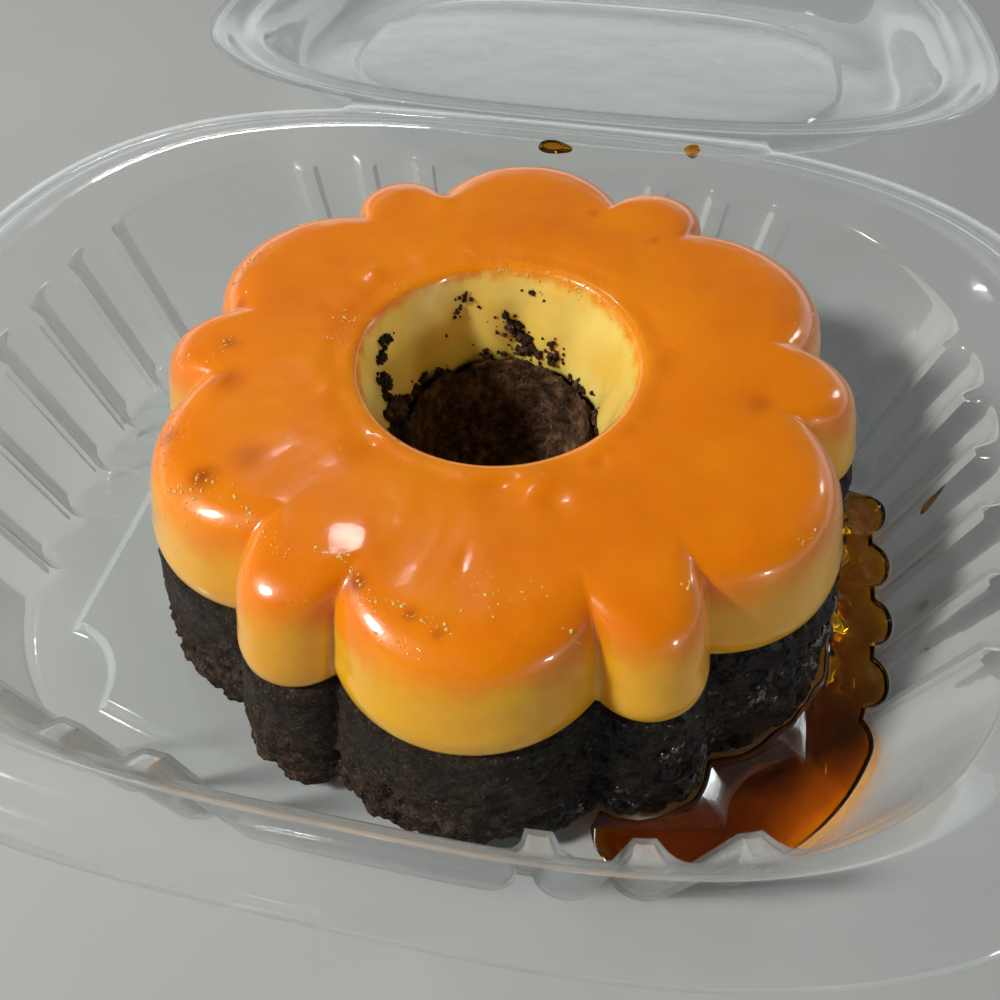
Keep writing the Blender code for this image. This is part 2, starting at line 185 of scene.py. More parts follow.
def grid_object(name, rows, material, wrap_rows=False, close_first=False, close_last=False):
    """Object from rows of points, shaped (rows, columns, 3) and closed along the columns."""
    row_count, column_count = rows.shape[:2]
    faces = grid_faces(row_count, column_count, wrap_rows)
    if close_first:
        faces.append(tuple(reversed(range(column_count))))
    if close_last:
        faces.append(tuple(range((row_count - 1) * column_count, row_count * column_count)))
    return add_object(name, rows.reshape(-1, 3), faces, material)


def add_attribute(piece, name, values):
    attribute = piece.data.attributes.new(name, "FLOAT", "POINT")
    attribute.data.foreach_set("value", np.asarray(values, dtype=np.float32).ravel())


def smooth_section(keys, counts, wrap=False):
    """Rows on a smooth curve through the key rows, with counts of steps from key to key."""
    keys = np.asarray(keys)
    total = len(keys)
    spans = total if wrap else total - 1
    gaps = [np.linalg.norm(keys[(i + 1) % total] - keys[i], axis=-1).mean() for i in range(spans)]
    rows = []
    for span in range(spans):
        here, ahead = keys[span], keys[(span + 1) % total]
        gap = gaps[span]
        slopes = []
        for at in (span, span + 1):
            before_gap = gaps[(at - 1) % spans] if wrap or at > 0 else None
            after_gap = gaps[at % spans] if wrap or at < total - 1 else None
            point = keys[at % total]
            after = (keys[(at + 1) % total] - point) / after_gap if after_gap else None
            before = (point - keys[(at - 1) % total]) / before_gap if before_gap else None
            if after is None or before is None:
                slopes.append(before if after is None else after)
            else:
                weight = before_gap / (before_gap + after_gap)
                slopes.append(before * (1.0 - weight) + after * weight)
        for step in range(counts[span]):
            t = step / counts[span]
            rows.append((2 * t ** 3 - 3 * t ** 2 + 1) * here + (t ** 3 - 2 * t ** 2 + t) * gap * slopes[0]
                        + (3 * t ** 2 - 2 * t ** 3) * ahead + (t ** 3 - t ** 2) * gap * slopes[1])
    if not wrap:
        rows.append(keys[-1])
    return np.array(rows)


def rounded_rows(keys, fillets, steps=4):
    """Straight rows from key to key, with each corner between them rounded."""
    rows = [keys[0]]
    for before, here, after, fillet in zip(keys, keys[1:], keys[2:], fillets):
        cuts = []
        for other in (before, after):
            way = other - here
            length = np.linalg.norm(way, axis=-1, keepdims=True)
            cuts.append(here + way * np.minimum(fillet / np.maximum(length, 1e-9), 0.45))
        for step in range(steps + 1):
            t = step / steps
            rows.append((1 - t) ** 2 * cuts[0] + 2 * t * (1 - t) * here + t ** 2 * cuts[1])
    rows.append(keys[-1])
    return np.array(rows)


def field(points, size, octaves=3, seed=0.0):
    """Smooth noise of about -1 to 1 at each point, with features of this size."""
    offset = Vector((seed, -seed, 0.37 * seed))
    return np.array([noise.fractal(Vector(point) / size + offset, 1.0, 2.0, octaves)
                     for point in points.reshape(-1, 3)]).reshape(points.shape[:-1])


def spots(points, places):
    """Sum of round bumps at places, each as (x mm, y mm, radius mm, height)."""
    total = np.zeros(points.shape[:-1])
    for x, y, radius, height in places:
        square = ((points[..., 0] - x * MM) ** 2 + (points[..., 1] - y * MM) ** 2) / (radius * MM) ** 2
        total += height * np.exp(-square)
    return total


def smoothstep(low, high, value):
    share = np.clip((value - low) / (high - low), 0.0, 1.0)
    return share * share * (3.0 - 2.0 * share)


# Materials

class Nodes:
    """Short way to build the nodes of one material, or of the world."""

    def __init__(self, name, world=None):
        self.material = world or bpy.data.materials.new(name)
        self.material.use_nodes = True
        self.tree = self.material.node_tree
        self.shader = self.tree.nodes["Background" if world else "Principled BSDF"]
        self.output = self.tree.nodes["World Output" if world else "Material Output"]

    def add(self, kind, **settings):
        made = self.tree.nodes.new(kind)
        for key, value in settings.items():
            setattr(made, key, value)
        return made

    def link(self, start, end):
        self.tree.links.new(start, end)

    def feed(self, name, start):
        self.link(start, self.shader.inputs[name])

    def set(self, **values):
        for key, value in values.items():
            self.shader.inputs[key.replace("_", " ")].default_value = value

    def attribute(self, name):
        return self.add("ShaderNodeAttribute", attribute_name=name).outputs["Fac"]

    def place(self):
        return self.add("ShaderNodeTexCoord").outputs["Object"]

    def split(self, vector):
        made = self.add("ShaderNodeSeparateXYZ")
        self.link(vector, made.inputs["Vector"])
        return made.outputs

    def transparent(self, colour):
        made = self.add("ShaderNodeBsdfTransparent")
        made.inputs["Color"].default_value = (*colour, 1.0)
        return made.outputs["BSDF"]

    def blend(self, factor, first, second):
        made = self.add("ShaderNodeMixShader")
        for socket, start in zip(made.inputs, (factor, first, second)):
            self.link(start, socket)
        return made.outputs["Shader"]

    def noise(self, scale, detail=3.0, roughness=0.5):
        made = self.add("ShaderNodeTexNoise")
        for name, value in (("Scale", scale), ("Detail", detail), ("Roughness", roughness)):
            made.inputs[name].default_value = value
        self.link(self.place(), made.inputs["Vector"])
        return made.outputs["Fac"]

    def voronoi(self, scale):
        made = self.add("ShaderNodeTexVoronoi", feature="F1")
        made.inputs["Scale"].default_value = scale
        self.link(self.place(), made.inputs["Vector"])
        return made.outputs["Distance"]

    def math(self, operation, first, second=None, clamp=False):
        made = self.add("ShaderNodeMath", operation=operation, use_clamp=clamp)
        for socket, value in zip(made.inputs, (first, second)):
            if isinstance(value, (int, float)):
                socket.default_value = value
            elif value is not None:
                self.link(value, socket)
        return made.outputs[0]

    def ramp(self, factor, stops):
        made = self.add("ShaderNodeValToRGB")
        elements = made.color_ramp.elements
        while len(elements) < len(stops):
            elements.new(0.5)
        for element, (position, colour) in zip(elements, stops):
            element.position = position
            element.color = (*colour, 1.0)
        self.link(factor, made.inputs["Fac"])
        return made.outputs["Color"]

    def mix(self, factor, first, second, blend="MIX"):
        made = self.add("ShaderNodeMix", data_type="RGBA", blend_type=blend)
        for socket, value in zip((made.inputs[0], made.inputs[6], made.inputs[7]), (factor, first, second)):
            if isinstance(value, (int, float)):
                socket.default_value = value
            elif isinstance(value, tuple):
                socket.default_value = (*value, 1.0)
            else:
                self.link(value, socket)
        return made.outputs[2]

    def bump(self, height, distance, strength=1.0, normal=None):
        made = self.add("ShaderNodeBump")
        made.inputs["Distance"].default_value = distance
        made.inputs["Strength"].default_value = strength
        self.link(height, made.inputs["Height"])
        if normal is not None:
            self.link(normal, made.inputs["Normal"])
        return made.outputs["Normal"]

    def let_lamps_through(self, colour, seen=None):
        """Lamps shine through, as they do through a thin clear sheet."""
        rays = self.add("ShaderNodeLightPath")
        both = self.blend(rays.outputs["Is Shadow Ray"], seen or self.shader.outputs["BSDF"],
                          self.transparent(colour))
        self.link(both, self.output.inputs["Surface"])


def grey(value):
    return (value, value, value)


def make_flan_material():
    nodes = Nodes("glazed_flan")
    glaze = nodes.attribute("glaze")
    inside = nodes.attribute("inside")
    patch = nodes.noise(70.0, 3.0, 0.55)
    fine = nodes.noise(420.0, 3.0, 0.6)
    edge = nodes.math("ADD", glaze, nodes.math("MULTIPLY", nodes.math("SUBTRACT", patch, 0.5), 0.35))
    edge = nodes.math("ADD", edge, nodes.math("MULTIPLY", nodes.math("SUBTRACT", fine, 0.5), 0.12))
    side = nodes.ramp(edge, ((0.0, (0.95, 0.48, 0.012)), (0.3, (0.92, 0.39, 0.004)),
                             (0.62, (0.93, 0.30, 0.001)), (1.0, (0.97, 0.27, 0.0005))))
    darker = nodes.ramp(patch, ((0.35, grey(1.0)), (0.7, (0.86, 0.78, 0.7))))
    top = nodes.mix(1.0, side, darker, "MULTIPLY")
    cream = nodes.ramp(nodes.noise(160.0, 2.0), ((0.3, (0.98, 0.72, 0.20)), (0.7, (0.95, 0.62, 0.11))))
    colour = nodes.mix(inside, top, cream)
    marks = nodes.ramp(nodes.attribute("mark"), ((0.0, grey(1.0)), (1.0, (0.42, 0.16, 0.10))))
    colour = nodes.mix(1.0, colour, marks, "MULTIPLY")
    nodes.feed("Base Color", colour)
    rough = nodes.ramp(inside, ((0.0, grey(0.32)), (1.0, grey(0.42))))
    nodes.feed("Roughness", rough)
    nodes.set(Subsurface_Weight=0.5, Subsurface_Radius=(1.0, 0.35, 0.08), Subsurface_Scale=4.5 * MM,
              IOR=1.4, Specular_IOR_Level=0.4, Coat_Weight=0.75, Coat_Roughness=0.11, Coat_IOR=1.42)
    normal = nodes.bump(nodes.noise(260.0, 4.0, 0.6), 0.12 * MM, 0.5)
    pits = nodes.ramp(nodes.voronoi(1500.0), ((0.0, grey(1.0)), (0.28, grey(0.0))))
    pits = nodes.math("MULTIPLY", pits, nodes.attribute("froth"))
    normal = nodes.bump(pits, 0.25 * MM, 1.0, normal)
    nodes.feed("Normal", normal)
    nodes.feed("Coat Normal", normal)
    return nodes.material


def make_cake_material():
    """Dark cake: charcoal and smooth above, brown and crumbly at its foot, black where it is wet."""
    nodes = Nodes("chocolate_crumb")
    wet = nodes.attribute("wet")
    coarse = nodes.noise(620.0, 5.0, 0.65)
    low = nodes.ramp(nodes.math("MULTIPLY", nodes.split(nodes.place())["Z"], 1.0 / (20.0 * MM)),
                     ((0.25, grey(1.0)), (0.7, grey(0.0))))
    upper = nodes.ramp(coarse, ((0.3, (0.019, 0.014, 0.010)), (0.72, (0.062, 0.046, 0.034))))
    foot = nodes.ramp(coarse, ((0.32, (0.008, 0.005, 0.004)), (0.5, (0.036, 0.023, 0.015)),
                               (0.72, (0.14, 0.085, 0.05))))
    dry_colour = nodes.mix(low, upper, foot)
    # The hollow under the hole hardly gets any light, so its loose crumb is painted lighter there as
    # painted light, and browner
    away = nodes.add("ShaderNodeVectorMath", operation="DISTANCE")
    nodes.link(nodes.place(), away.inputs[0])
    hollow_at = CAKE_AXIS + HOLE_SHIFT
    away.inputs[1].default_value = (hollow_at[0], hollow_at[1], 16.0 * MM)
    in_hollow = nodes.ramp(nodes.math("MULTIPLY", away.outputs["Value"], 1.0 / (24.0 * MM)),
                           ((0.85, grey(1.0)), (0.95, grey(0.0))))
    loose_crumb_and_painted_light = nodes.ramp(coarse, ((0.35, (0.03, 0.016, 0.009)), (0.52, (0.10, 0.052, 0.028)),
                                (0.72, (0.28, 0.16, 0.09))))
    dry_colour = nodes.mix(in_hollow, dry_colour, loose_crumb_and_painted_light)
    # Painted glints: tiny pale specks mixed into the dry crumb's colour stand in for small highlights
    painted_glint_specks = nodes.ramp(nodes.noise(2300.0, 2.0, 0.5), ((0.62, grey(0.0)), (0.70, grey(0.5))))
    dry_colour = nodes.mix(painted_glint_specks, dry_colour, (0.22, 0.18, 0.15))
    wet_colour = nodes.ramp(coarse, ((0.35, (0.0010, 0.0004, 0.0002)), (0.7, (0.005, 0.0018, 0.0008))))
    nodes.feed("Base Color", nodes.mix(wet, dry_colour, wet_colour))
    rough = nodes.math("SUBTRACT", 0.72, nodes.math("MULTIPLY", wet, 0.45))
    nodes.feed("Roughness", rough)
    nodes.set(IOR=1.42, Specular_IOR_Level=0.1, Coat_Roughness=0.13, Coat_IOR=1.45)
    nodes.feed("Coat Weight", nodes.math("MULTIPLY", wet, 0.4))
    normal = nodes.bump(coarse, 1.3 * MM, 1.0)
    pores = nodes.ramp(nodes.voronoi(900.0), ((0.0, grey(0.0)), (0.35, grey(1.0))))
    normal = nodes.bump(pores, 0.35 * MM, 0.6, normal)
    nodes.feed("Normal", normal)
    gloss_normal = nodes.bump(nodes.noise(380.0, 3.0, 0.5), 3.2 * MM, 1.0)
    nodes.feed("Coat Normal", gloss_normal)
    return nodes.material


def make_caramel_material():
    nodes = Nodes("amber_caramel")
    thickness = nodes.attribute("thickness")
    uneven = nodes.math("MULTIPLY", nodes.math("SUBTRACT", nodes.noise(90.0, 3.0), 0.5), 0.5)
    colour = nodes.ramp(nodes.math("ADD", thickness, uneven), (
        (0.0, (0.97, 0.45, 0.012)), (0.45, (0.50, 0.185, 0.0025)), (1.0, (0.12, 0.038, 0.0004))))
    nodes.feed("Base Color", colour)
    nodes.set(Transmission_Weight=1.0, Roughness=0.03, IOR=1.48)
    normal = nodes.bump(nodes.noise(200.0, 2.0, 0.4), 0.15 * MM, 0.4)
    nodes.feed("Normal", normal)
    nodes.let_lamps_through((1.0, 0.64, 0.16))
    return nodes.material


def make_plastic_material():
    """Clear sheet: see-through with a faint milky share that grows at the edges as a painted reflection,
    and a gloss that grows there too.
    """
    nodes = Nodes("clear_sheet")
    haze = nodes.ramp(nodes.noise(60.0, 4.0, 0.6), ((0.35, grey(0.06)), (0.75, grey(0.20))))
    nodes.feed("Roughness", haze)
    # Faint milky tone of the sheet, shown mostly at grazing angles, where it is a painted reflection
    milk_and_painted_reflection = nodes.ramp(nodes.noise(25.0, 2.0), ((0.3, (0.52, 0.55, 0.55)), (0.7, (0.64, 0.67, 0.67))))
    nodes.feed("Base Color", milk_and_painted_reflection)
    nodes.set(IOR=2.2, Coat_Weight=1.0, Coat_Roughness=0.03, Coat_IOR=2.2)
    normal = nodes.bump(nodes.noise(95.0, 3.0, 0.45), 0.35 * MM, 0.4)
    nodes.feed("Normal", normal)
    nodes.feed("Coat Normal", normal)
    edge = nodes.add("ShaderNodeLayerWeight")
    edge.inputs["Blend"].default_value = 0.28
    nodes.link(normal, edge.inputs["Normal"])
    solid = nodes.math("ADD", nodes.math("MULTIPLY", edge.outputs["Fresnel"], 0.65), 0.028, clamp=True)
    seen = nodes.blend(solid, nodes.transparent((0.985, 0.99, 0.99)), nodes.shader.outputs["BSDF"])
    nodes.let_lamps_through((0.975, 0.98, 0.98), seen)
    return nodes.material


def make_floor_material():
    nodes = Nodes("pale_floor")
    colour = nodes.ramp(nodes.noise(6.0, 3.0), ((0.3, (0.42, 0.44, 0.44)), (0.7, (0.47, 0.49, 0.49))))
    nodes.feed("Base Color", colour)
    nodes.set(Roughness=0.6)
    return nodes.material


# The box

def tray_columns():
    """Stations round the tray as (turns, share of scoop), from the right side round."""
    turns = []
    scoops = []
    flat = RIB_FLAT_SHARE * RIB_PITCH
    scoop_half = RIB_PITCH / 2.0 - flat
    counts = (SHORT_SIDE_RIBS, LONG_SIDE_RIBS)
    halves = (LEDGE_HALF[1], LEDGE_HALF[0])
    reaches = [(count - 1) / 2.0 * RIB_PITCH + flat + scoop_half for count in counts]
    ends = [math.asin((reach / half) ** (OUTLINE_POWER / 2.0)) for reach, half in zip(reaches, halves)]
    for side in range(4):
        count, half, reach = counts[side % 2], halves[side % 2], reaches[side % 2]
        places = np.arange(-reach, reach, RIB_SAMPLE)
        turn = np.arcsin(np.copysign(np.abs(places / half) ** (OUTLINE_POWER / 2.0), places))
        within = np.abs((places + count * RIB_PITCH / 2.0) % RIB_PITCH - RIB_PITCH / 2.0)
        from_scoop = np.clip((RIB_PITCH / 2.0 - within) / scoop_half, 0.0, 1.0)
        if count == LONG_SIDE_RIBS:
            from_scoop[np.abs(places) < PLAIN_HALF_LENGTH] = 0.0
        scoops.extend(np.sqrt(1.0 - from_scoop ** 2))
        turns.extend(turn + side * math.pi / 2.0)
        start = ends[side % 2] + side * math.pi / 2.0
        end = (side + 1) * math.pi / 2.0 - ends[(side + 1) % 2]
        turns.extend(np.linspace(start, end, CORNER_COLUMNS, endpoint=False))
        scoops.extend([1.0] * CORNER_COLUMNS)
    return np.array(turns), np.array(scoops)


def outline(turns, half, z):
    x, y = superellipse(half, turns)
    return as_points(x, y, z)


def ribbed_outline(turns, scoops, half, depth, z):
    """Outline that steps in by depth at the ribs and keeps out in the scoops."""
    x, y = superellipse((1.0, 1.0), turns)
    inset = depth * (1.0 - scoops)
    return as_points(x * (half[0] - inset), y * (half[1] - inset), z)


def bowed(points):
    """The same points on the tray's floor, which is lowest at its corners."""
    corner_x, corner_y = superellipse(FLOOR_HALF - RIB_DEPTH_AT_FLOOR / 2.0, math.pi / 4.0)
    share = np.abs(points[..., 0] * points[..., 1]) / (corner_x * corner_y)
    points[..., 2] = WALL + FLOOR_BOW * np.maximum(0.0, 1.0 - share)
    return points


def lip_outline(turns, z):
    """Outer edge of a lip, drawn out to the hinge where the hinge runs."""
    x, y = superellipse(RIM_HALF + LIP_WIDTH, turns)
    near_hinge = (np.abs(x) < HINGE_HALF_LENGTH) & (y > 0.0)
    y = np.where(near_hinge, HINGE_Y - HINGE_GAP / 2.0, y)
    return as_points(x, y, z)


def panel_outline(turns, inset, z):
    """Raised panel of the tray's floor, with bowed long sides and scooped corners."""
    floor_x, floor_y = superellipse(FLOOR_HALF, turns)
    angle = np.arctan2(floor_y, floor_x)
    cosine = np.maximum(np.abs(np.cos(angle)), 1e-6)
    sine = np.maximum(np.abs(np.sin(angle)), 1e-6)
    half = PANEL_HALF - inset
    bow = PANEL_SAG * (cosine / half[0]) ** 2
    reach = np.minimum((np.sqrt(sine * sine + 4.0 * bow * half[1]) - sine) / (2.0 * bow), half[0] / cosine)
    along = SCOOP_CENTRE[0] * cosine + SCOOP_CENTRE[1] * sine
    inside = (SCOOP_RADIUS + inset) ** 2 - (SCOOP_CENTRE @ SCOOP_CENTRE - along ** 2)
    scooped = along - np.sqrt(np.maximum(inside, 0.0))
    reach = np.where(inside > 0.0, np.minimum(reach, scooped), reach)
    return as_points(reach * np.cos(angle), reach * np.sin(angle), z)


def closing_rows(rim, shares):
    """Rows that shrink a flat ring to its middle."""
    middle = rim.mean(axis=0)
    return np.array([middle + (rim - middle) * share for share in shares])


def add_sheet_wall(piece):
    solidify = piece.modifiers.new("Wall", "SOLIDIFY")
    solidify.thickness = WALL
    solidify.offset = -1.0


def build_tray(material):
    turns, scoops = tray_columns()
    ledge_z = RIM_Z - LEDGE_DROP
    keys = [
        lip_outline(turns, RIM_Z - LIP_DROP),
        outline(turns, RIM_HALF + LIP_OFFSET, RIM_Z - LIP_DROP),
        outline(turns, RIM_HALF + BEAD_OFFSET, RIM_Z + BEAD_RISE),
        outline(turns, RIM_HALF, RIM_Z),
        outline(turns, LEDGE_HALF, ledge_z),
        ribbed_outline(turns, scoops, LEDGE_HALF, RIB_DEPTH_AT_LEDGE, ledge_z - LEDGE_SLOPE),
        bowed(ribbed_outline(turns, scoops, FLOOR_HALF, RIB_DEPTH_AT_FLOOR, WALL)),
        bowed(panel_outline(turns, 0.0, WALL)),
        panel_outline(turns, PANEL_BEVEL, WALL + PANEL_RISE),
        panel_outline(turns, 3.0 * PANEL_BEVEL, WALL + PANEL_RISE),
    ]
    fillets = [x * MM for x in (0.8, 2.2, 1.6, 0.7, 0.6, 1.3, 0.6, 0.5)]
    rows = rounded_rows(keys, fillets)
    rows = np.concatenate((rows, closing_rows(keys[-1], (0.75, 0.5, 0.25, 0.02))))
    rows += np.array(TRAY_CENTRE)
    tray = grid_object("clear_tray", rows, material, close_last=True)
    add_sheet_wall(tray)
    return tray


def lid_tilt():
    """How far past flat the open lid leans back until its top meets the table."""
    reach = HINGE_Y + LID_TOP_HALF[1]
    height = LID_NEST_GAP / 2.0 + LID_HEIGHT + WALL
    return math.asin(HINGE_Z / math.hypot(reach, height)) - math.atan2(height, reach)


def build_lid(material):
    turns = np.linspace(0.0, TAU, LID_COLUMNS, endpoint=False)[::-1]
    lip = LID_NEST_GAP / 2.0
    keys = [lip_outline(turns, lip)]
    for half, z in (
            (RIM_HALF + LIP_OFFSET, lip),
            (RIM_HALF + BEAD_OFFSET, lip + LIP_DROP + BEAD_RISE),
            (RIM_HALF, lip + LIP_DROP),
            (RIM_HALF + (LID_TOP_HALF - RIM_HALF) * 0.35, lip + LIP_DROP + (LID_HEIGHT - LIP_DROP) * 0.25),
            (RIM_HALF + (LID_TOP_HALF - RIM_HALF) * 0.7, lip + LIP_DROP + (LID_HEIGHT - LIP_DROP) * 0.88),
            (LID_TOP_HALF, lip + LID_HEIGHT),
            (LID_PANEL_HALF, lip + LID_HEIGHT),
            (LID_PANEL_HALF - LID_PANEL_STEP, lip + LID_HEIGHT - LID_PANEL_STEP),
            (LID_PANEL_HALF - 5.0 * LID_PANEL_STEP, lip + LID_HEIGHT - LID_PANEL_STEP)):
        keys.append(outline(turns, half, z))
    fillets = [x * MM for x in (0.8, 2.2, 1.6, 3.0, 4.0, 3.0, 0.6, 0.6)]
    rows = rounded_rows(keys, fillets)
    rows = np.concatenate((rows, closing_rows(keys[-1], (0.75, 0.5, 0.25, 0.02))))
    rows -= np.array((0.0, HINGE_Y, 0.0))
    turn = np.array(Matrix.Rotation(-math.pi - lid_tilt(), 3, "X"))
    rows = rows @ turn.T + np.array(TRAY_CENTRE) + np.array((0.0, HINGE_Y, HINGE_Z))
    lid = grid_object("clear_lid", rows, material, close_last=True)
    add_sheet_wall(lid)
    return lid


# The cake

def lobe_arc(offset, half_angle, crest, valley):
    centre = (crest ** 2 - valley ** 2) / (2.0 * (crest - valley * np.cos(half_angle)))
    radius = crest - centre
    across = centre * np.sin(offset)
    return centre * np.cos(offset) + np.sqrt(np.maximum(radius ** 2 - across ** 2, 0.0))


def lobe_radius(angle, depth, softness=0.5 * MM):
    """Twelve-lobed outline at a depth under the cake's top, with its valleys softly rounded."""
    share = depth / (CAKE_TOP_Z - LAYER_Z)
    pair_angle = TAU / LOBE_PAIRS
    from_wide = (angle - FIRST_LOBE_ANGLE + pair_angle / 2.0) % pair_angle - pair_angle / 2.0
    from_narrow = (angle - FIRST_LOBE_ANGLE) % pair_angle - pair_angle / 2.0
    valley = VALLEY_RADIUS + VALLEY_FLARE * share
    arcs = []
    for offset, half_angle, crest in ((from_wide, WIDE_HALF_ANGLE, WIDE_CREST),
                                      (from_narrow, NARROW_HALF_ANGLE, NARROW_CREST)):
        stretch = FAR_STRETCH * np.maximum(0.0, np.sin(angle - offset)) ** 2
        arcs.append(lobe_arc(offset, half_angle, crest + stretch + CREST_FLARE * share, valley))
    high = np.maximum(arcs[0], arcs[1])
    low = np.minimum(arcs[0], arcs[1])
    return high + softness * np.log1p(np.exp((low - high) / softness))


def cake_points(angle, radius, z, shift=np.zeros(2)):
    x = TRAY_CENTRE.x + CAKE_CENTRE[0] + shift[0] + np.cos(angle) * radius
    y = TRAY_CENTRE.y + CAKE_CENTRE[1] + shift[1] + np.sin(angle) * radius
    return as_points(x, y, z)


def hole_radius(angle, z):
    rim_z = CAKE_TOP_Z - HOLE_RIM_DROP
    share = (z - LAYER_Z) / (rim_z - LAYER_Z)
    flute = FLUTE_DEPTH * np.cos(HOLE_FLUTES * angle) * (1.0 - share ** 3)
    return HOLE_FOOT_RADIUS + (HOLE_RIM_RADIUS - HOLE_FOOT_RADIUS) * share ** 1.3 + flute


# Dents and small folds of the glazed top: x mm, y mm, radius mm, depth
TOP_DENTS = (
    (18.0, -60.2, 2.6, -0.5), (24.2, -113.2, 1.8, 0.35),
    (10.4, -96.3, 2.6, -0.30), (14.8, -94.4, 2.2, 0.28), (17.0, -97.2, 1.8, -0.25),
    (20.1, -88.8, 1.7, 0.35), (21.4, -89.9, 1.2, -0.25), (-6.0, -71.7, 1.6, 0.22),
    (-15.1, -83.4, 1.8, 0.22), (-6.6, -93.2, 2.2, -0.2), (26.2, -71.0, 2.0, 0.15),
    (-4.6, -107.5, 5.0, 0.25), (-10.6, -41.5, 1.8, 0.3), (-16.1, -60.8, 1.5, 0.2),
    (19.4, -58.6, 2.4, 0.3), (8.5, -107.6, 0.6, -0.2), (40.2, -76.6, 2.5, -0.12),
)
# Reddish-brown marks in the glaze: x mm, y mm, radius mm, strength
TOP_MARKS = (
    (-25.2, -101.8, 1.7, 0.8), (-32.6, -96.2, 1.1, 0.7), (-30.8, -79.0, 1.0, 0.6), (-2.4, -112.6, 1.1, 0.8),
    (4.6, -115.4, 0.8, 0.6), (8.0, -117.0, 0.7, 0.5), (-33.0, -70.6, 0.9, 0.6), (-35.6, -65.8, 0.8, 0.6),
    (40.2, -76.6, 1.6, 0.45), (26.9, -72.3, 2.6, 0.3), (23.0, -45.7, 0.7, 0.6), (24.8, -67.8, 0.6, 0.5),
    (23.8, -83.9, 1.2, 0.45), (8.5, -107.6, 0.25, 1.0), (28.4, -68.6, 0.25, 1.0), (-28.5, -85.6, 2.2, 0.5),
    (-20.6, -97.9, 2.4, 0.5), (-4.0, -92.0, 1.4, 0.25), (13.4, -40.3, 0.9, 0.4),
)


def build_flan(material):
    angle = np.linspace(0.0, TAU, CAKE_COLUMNS, endpoint=False)
    keys = []
    for depth_mm, inset_mm in FLAN_SIDE:
        depth = depth_mm * MM
        softness = (0.35 + 0.3 * inset_mm) * MM
        keys.append(cake_points(angle, lobe_radius(angle, depth, softness) - inset_mm * MM,
                                CAKE_TOP_Z - depth))
    keys.append(cake_points(angle, FLAN_TOP_RING_RADIUS, CAKE_TOP_Z))
    rim_z = CAKE_TOP_Z - HOLE_RIM_DROP
    lip_radius = HOLE_RIM_RADIUS + HOLE_LIP_WIDTH
    keys.append(cake_points(angle, lip_radius, CAKE_TOP_Z - 0.3 * HOLE_RIM_DROP, HOLE_SHIFT))
    for share in (1.0, 0.9, 0.65, 0.32, 0.0):
        z = LAYER_Z + share * (rim_z - LAYER_Z)
        keys.append(cake_points(angle, hole_radius(angle, z), z, HOLE_SHIFT))
    counts = [3, 3, 6, 5, 5, 5, 5, 6, 10, 8, 6, 3, 5, 6, 6, 6]
    rows = smooth_section(keys, counts, wrap=True)
    rows[..., 2] = np.clip(rows[..., 2], LAYER_Z, CAKE_TOP_Z)
    height = (rows[..., 2] - LAYER_Z) / (CAKE_TOP_Z - LAYER_Z)
    away = np.hypot(rows[..., 0] - CAKE_AXIS[0], rows[..., 1] - CAKE_AXIS[1])
    on_top = smoothstep(0.8, 0.97, height) * smoothstep(HOLE_RIM_RADIUS * 0.98, lip_radius, away)
    uneven = 0.16 * MM * field(rows, 9.0 * MM, 3, 3.0)
    dents = spots(rows, TOP_DENTS) * MM
    rows[..., 2] += on_top * (uneven + 1.6 * dents - 0.3 * MM)
    rows[..., 2] = np.clip(rows[..., 2], LAYER_Z, CAKE_TOP_Z)
    # The side is a little uneven too, but keeps its height
    swell = 0.16 * MM * field(rows, 13.0 * MM, 2, 11.0) * smoothstep(0.02, 0.2, height) * (1.0 - on_top)
    outward = (rows[..., :2] - CAKE_AXIS) / away[..., None]
    rows[..., :2] += outward * np.minimum(swell, 0.0)[..., None]
    flan = grid_object("glazed_flan", rows, material, wrap_rows=True)
    inner = smoothstep(HOLE_RIM_RADIUS + 2.6 * MM, HOLE_RIM_RADIUS + 0.2 * MM, away)
    ragged = 0.10 * field(rows, 2.2 * MM, 3, 5.0)
    inside = np.clip(smoothstep(0.92, 0.80, height + 0.6 * ragged) * (away < 27.0 * MM), 0.0, 1.0)
    drip = 0.13 * field(rows, 8.0 * MM, 3, 7.0)
    glaze = smoothstep(0.48, 0.98, height + drip) * (1.0 - 0.3 * inner)
    add_attribute(flan, "glaze", glaze)
    add_attribute(flan, "inside", inside)
    add_attribute(flan, "mark", np.clip(spots(rows, TOP_MARKS) * on_top, 0.0, 1.0))
    leftness = smoothstep(8.0 * MM, -30.0 * MM, rows[..., 0])
    brim = smoothstep(0.86, 0.93, height) * smoothstep(1.0, 0.955, height)
    frothy = smoothstep(0.05, 0.4, field(rows, 7.0 * MM, 3, 21.0))
    add_attribute(flan, "froth", np.clip(brim * frothy * (0.25 + leftness), 0.0, 1.0))
    return flan


def crumb(points):
    value = field(points, CRUMB_SIZE, 1) + 0.5 * field(points, CRUMB_SIZE / 2.2, 1)
    return CRUMB_RELIEF * np.clip(value, -1.0, 1.0)


def cake_side_radius(angle, share):
    depth = CAKE_TOP_Z - LAYER_Z
    outer = lobe_radius(angle, depth)
    crest = NARROW_CREST + CREST_FLARE
    valley = VALLEY_RADIUS + VALLEY_FLARE
    crest_share = np.clip((outer - valley) / (crest - valley), 0.0, 1.0)
    spread = FOOT_VALLEY_SPREAD + (FOOT_CREST_SPREAD - FOOT_VALLEY_SPREAD) * crest_share
    spread = spread * (1.0 - share) ** 0.8
    local = as_points(CAKE_CENTRE[0] + np.cos(angle) * outer, CAKE_CENTRE[1] + np.sin(angle) * outer,
                      share * LAYER_Z)
    return outer - TOUCH_GAP + spread + crumb(local) * min(1.0, 2.0 * (1.0 - share))


